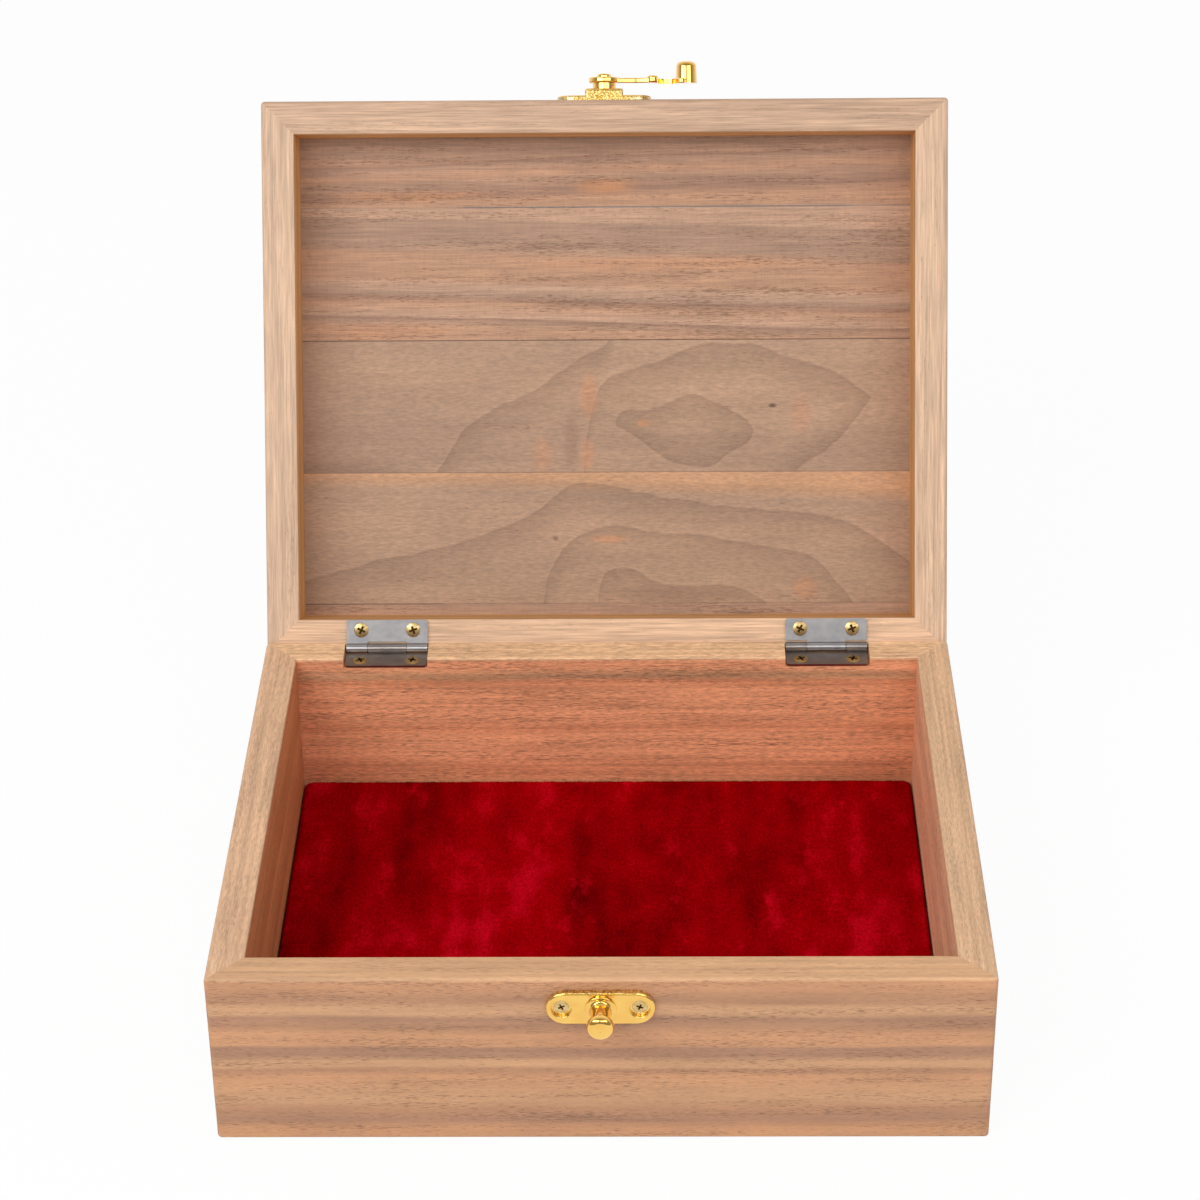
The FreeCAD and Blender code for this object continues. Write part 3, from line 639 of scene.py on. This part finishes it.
# The two butt hinges: leaves and pins pressed from zinc-plated sheet steel, grey and satin, with fine
# scratches from handling. The leaves on the base are the same steel, painted darker and browner: painted
# shade under the open lid and a painted reflection of its wood.
hinges = ("left_hinge", "right_hinge")
steel_tones = {
    "zinc_plated_steel": ("#a3a1a3", "#bab6b5", ("_lid_leaf", "_pin")),
    # The base leaves' copy: painted shade and a painted reflection of the lid's wood.
    "zinc_steel_painted_shade": ("#988f8a", "#aba39e", ("_base_leaf",)),
}
for name, (dark_tone, pale_tone, endings) in steel_tones.items():
    steel, tree = new_material(name)
    place = grain_space(tree, "left_hinge_base_leaf", sideways, upright)
    cloud = streaks(tree, place, 4, 3, 81, detail=3)
    scratch = streaks(tree, place, 0.4, 2, 82, detail=3)
    figure = add(tree, "ValToRGB", [cloud], stops=[(0.3, dark_tone), (0.7, pale_tone)])
    gloss = add(tree, "MapRange", [scratch, 0.35, 0.65, 0.3, 0.36])
    bump = add(tree, "Bump", {"Strength": 0.012, "Distance": 0.03 * mm, "Height": scratch})
    shader = add(tree, "BsdfPrincipled", {
        "Base Color": figure,
        "Metallic": 1,
        "Roughness": gloss,
        "Normal": bump,
    })
    add(tree, "OutputMaterial", [shader])
    dress(steel, *[hinge + ending for hinge in hinges for ending in endings])


# The hinge screws: small brass countersunk screws with a crosshead, turned and tumbled, a little dulled. The
# recess is painted darker than the head, as painted shade in the cross.
brass_dull = "#b3925a"
brass_bright = "#d9be8a"
# Painted shade for the cross recess.
hinge_recess_painted_shade = "#4a3112"
hinge_screw_dome = 0.3 * mm


def recess(tree, node, out, head_dome):
    """How much of a place is in the screws' cross recess: 0 at the head's rim and 1 a little below it. Out
    is the way the heads face."""
    recess_start, recess_full = 0.1 * mm, 0.4 * mm
    rim = (node_points(node) @ np.array(out)).max() - head_dome
    surface = add(tree, "TexCoord")
    height = add(tree, "VectorMath", [surface.outputs["Object"], out], operation="DOT_PRODUCT")
    # This is the mask for the painted shade in the recess.
    return add(tree, "MapRange", [height.outputs["Value"], rim - recess_start, rim - recess_full, 0, 1])


for hinge in hinges:
    for part, out in (("_base_screws", upright), ("_lid_screws", -lid_out)):
        brass, tree = new_material("turned_brass_" + hinge + part)
        place = grain_space(tree, hinge + part, sideways, upright)
        tarnish = streaks(tree, place, 1.2, 0.9, 91, detail=3)
        figure = add(tree, "ValToRGB", [tarnish], stops=[(0.3, brass_dull), (0.7, brass_bright)])
        sunk = recess(tree, hinge + part, out, hinge_screw_dome)
        # Painted shade in the cross recess.
        skin = add(tree, "MixRGB", [sunk, figure, linear(hinge_recess_painted_shade)])
        gloss = add(tree, "MapRange", [tarnish, 0.3, 0.7, 0.42, 0.28])
        shader = add(tree, "BsdfPrincipled", {"Base Color": skin, "Metallic": 1, "Roughness": gloss})
        add(tree, "OutputMaterial", [shader])
        dress(brass, hinge + part)


# The latch: a catch plate with a peg on the wall, and a plate with a boss on the lid that carries the swing
# hook on a rivet. All are small zinc castings with bright gold plating under lacquer. Faces are polished, and
# the sides of the plates and the boss keep the grainy skin of the mould; its grains are coloured with painted
# shade and painted glints.
boss_height = 3.9 * mm
boss_edge = 0.4 * mm
gilt_deep = "#f2b530"
gilt_pale = "#f9c54a"
# The skin's darkest and palest colours are painted shade and painted glints.
skin_painted_shade = "#a87e2c"
skin_gold = "#e0b450"
skin_painted_glint = "#fbe3a0"
skin_dullness = 0.22
# Each casting's way out of the wood, and how much of the mould's skin its sides keep.
gilt_pieces = {
    "catch_plate": (-backward, 1.0),
    "catch_peg": (-backward, 0.0),
    "hook_plate": (lid_up, 1.0),
    "hook_rivet": (lid_up, 0.0),
    "swing_hook": (lid_up, 0.0),
}
for piece, (out, rough_sides) in gilt_pieces.items():
    gilt, tree = new_material("gold_plated_" + piece)
    place = grain_space(tree, "catch_plate", sideways, upright)
    stipple = streaks(tree, place, 0.55, 0.55, 101, detail=2)
    wear = streaks(tree, place, 5, 4, 102, detail=3)
    surface = add(tree, "TexCoord")
    turned = add(tree, "VectorMath", [surface.outputs["Normal"], out], operation="DOT_PRODUCT")
    facing = add(tree, "Math", [turned.outputs["Value"]], operation="ABSOLUTE")
    upright_side = add(tree, "MapRange", [facing, 0.35, 0.6, rough_sides, 0])
    foot = (node_points(piece) @ np.array(out)).min()
    height = add(tree, "VectorMath", [surface.outputs["Object"], out], operation="DOT_PRODUCT")
    boss_top = foot + boss_height
    low = add(tree, "MapRange", [height.outputs["Value"], boss_top - boss_edge, boss_top, 1, 0])
    side = add(tree, "Math", [upright_side, low], operation="MULTIPLY")
    figure = add(tree, "ValToRGB", [wear], stops=[(0.3, gilt_deep), (0.7, gilt_pale)])
    # The grainy sides: painted shade and painted glints over the mould's grain.
    grainy_painted_light = add(tree, "ValToRGB", [stipple], stops=[
        (0.36, skin_painted_shade), (0.5, skin_gold), (0.62, skin_painted_glint),
    ])
    skin = add(tree, "MixRGB", [side, figure, grainy_painted_light])
    polish = add(tree, "MapRange", [wear, 0.3, 0.7, 0.18, 0.1])
    gloss = add(tree, "Math", [side, skin_dullness, polish], operation="MULTIPLY_ADD")
    relief = add(tree, "Math", [stipple, side], operation="MULTIPLY")
    bump = add(tree, "Bump", {"Strength": 0.4, "Distance": 0.3 * mm, "Height": relief})
    shader = add(tree, "BsdfPrincipled", {
        "Base Color": skin,
        "Metallic": 1,
        "Roughness": gloss,
        "Normal": bump,
        "Coat Weight": 1.0,
        "Coat IOR": 1.9,
        "Coat Roughness": 0.03,
    })
    add(tree, "OutputMaterial", [shader])
    dress(gilt, piece)


# The latch screws: turned brass crossheads, paler than the plating round them, driven flush into the plates'
# counterbores. Their recess is painted a little darker than the heads, as painted shade.
pale_brass_dull = "#c4a062"
pale_brass_bright = "#e8cf94"
# Painted shade for the cross recess.
latch_recess_painted_shade = "#967040"
flat_head = 0
for screws, out in (("catch_plate_screws", -backward), ("hook_plate_screws", lid_up)):
    pale_brass, tree = new_material("turned_brass_" + screws)
    place = grain_space(tree, screws, sideways, upright)
    tarnish = streaks(tree, place, 1.2, 0.9, 111, detail=3)
    figure = add(tree, "ValToRGB", [tarnish], stops=[(0.3, pale_brass_dull), (0.7, pale_brass_bright)])
    sunk = recess(tree, screws, out, flat_head)
    # Painted shade in the cross recess.
    skin = add(tree, "MixRGB", [sunk, figure, linear(latch_recess_painted_shade)])
    shader = add(tree, "BsdfPrincipled", {"Base Color": skin, "Metallic": 1, "Roughness": 0.3})
    add(tree, "OutputMaterial", [shader])
    dress(pale_brass, screws)


# The floor: a wide sheet of white paper under the box. To the camera and in reflections it is mostly plain
# white, and the rest of it is lit, so that the box keeps its shadow.
floor_half = 4.0
floor_plain_share = 0.95
floor_corners = np.array([[[-1, -1, 0], [-1, 1, 0]], [[1, -1, 0], [1, 1, 0]]]) * floor_half
floor = grid_piece("floor", floor_corners)
paper, tree = new_material("white_paper")
path = add(tree, "LightPath")
camera_ray = path.outputs["Is Camera Ray"]
mirror_ray = path.outputs["Is Glossy Ray"]
seen = add(tree, "Math", [camera_ray, mirror_ray], operation="MAXIMUM")
shown = add(tree, "Math", [seen, path.outputs["Is Transmission Ray"]], operation="MAXIMUM")
plain_share = add(tree, "Math", [shown, floor_plain_share], operation="MULTIPLY")
lit = add(tree, "BsdfDiffuse", {"Color": linear("#fbfbfb")})
plain = add(tree, "Emission", {"Color": linear("#ffffff"), "Strength": 1})
add(tree, "OutputMaterial", [add(tree, "MixShader", [plain_share, lit, plain])])
floor.data.materials.append(paper)


# The studio: two wide soft lamps side by side in front, the left one stronger, in a white room that is dim
# behind the camera, which gives the metal its dark bands.
room_light = 0.5
dim_end = 0.3
dim_heading, white_heading = -0.3, 0.5
world = bpy.data.worlds.new("white_room")
bpy.context.scene.world = world
world.use_nodes = True
tree = world.node_tree
tree.nodes.clear()
path = add(tree, "LightPath")
heading = add(tree, "SeparateXYZ", [add(tree, "TexCoord").outputs["Generated"]])
mirrored = add(tree, "MapRange", [heading.outputs["Y"], dim_heading, white_heading, dim_end, 1])
level = add(tree, "MapRange", [path.outputs["Is Glossy Ray"], 0, 1, room_light, mirrored])
camera_ray = path.outputs["Is Camera Ray"]
seen = add(tree, "Math", [camera_ray, path.outputs["Is Transmission Ray"]], operation="MAXIMUM")
strength = add(tree, "Math", [level, seen], operation="MAXIMUM")
backdrop = add(tree, "Background", {"Color": linear("#ffffff"), "Strength": strength})
add(tree, "OutputWorld", [backdrop])

lamp_target = Vector((0, 0.05, 0.08))
lamp_distance = 1.3
lamp_width, lamp_height = 1.15, 0.4
# Each lamp's azimuth and elevation in degrees, and its power in watts.
for name, azimuth, elevation, power in (("key_lamp", -38, 38, 7.6), ("fill_lamp", 31, 38, 4.2)):
    lamp_data = bpy.data.lights.new(name, "AREA")
    lamp_data.shape = "RECTANGLE"
    lamp_data.size = lamp_width
    lamp_data.size_y = lamp_height
    lamp_data.energy = power
    lamp = bpy.data.objects.new(name, lamp_data)
    turn, climb = math.radians(azimuth), math.radians(elevation)
    toward = Vector((math.sin(turn) * math.cos(climb), -math.cos(turn) * math.cos(climb), math.sin(climb)))
    lamp.location = lamp_target + toward * lamp_distance
    lamp.rotation_euler = toward.to_track_quat("Z", "Y").to_euler()
    bpy.context.scene.collection.objects.link(lamp)

# The camera stands in front, a little to the right, and looks down into the open box with a long lens. Yaw,
# pitch and roll are in degrees.
camera_place = Vector((0.01356, -0.76019, 0.57910))
camera_yaw, camera_pitch, camera_roll = (math.radians(a) for a in (-1.0432, 31.1073, -0.7616))
ahead = Vector((math.sin(camera_yaw) * math.cos(camera_pitch),
                math.cos(camera_yaw) * math.cos(camera_pitch),
                -math.sin(camera_pitch)))
right = Vector((math.cos(camera_yaw), -math.sin(camera_yaw), 0))
top = right.cross(ahead)
turned_right = math.cos(camera_roll) * right + math.sin(camera_roll) * top
turned_top = math.cos(camera_roll) * top - math.sin(camera_roll) * right
camera_data = bpy.data.cameras.new("camera")
camera_data.lens = 96.70
camera_data.sensor_width = 36
camera = bpy.data.objects.new("camera", camera_data)
facing = Matrix((turned_right, turned_top, -ahead)).transposed().to_4x4()
camera.matrix_world = Matrix.Translation(camera_place) @ facing
bpy.context.scene.collection.objects.link(camera)
bpy.context.scene.camera = camera
bpy.context.scene.view_settings.view_transform = "Standard"
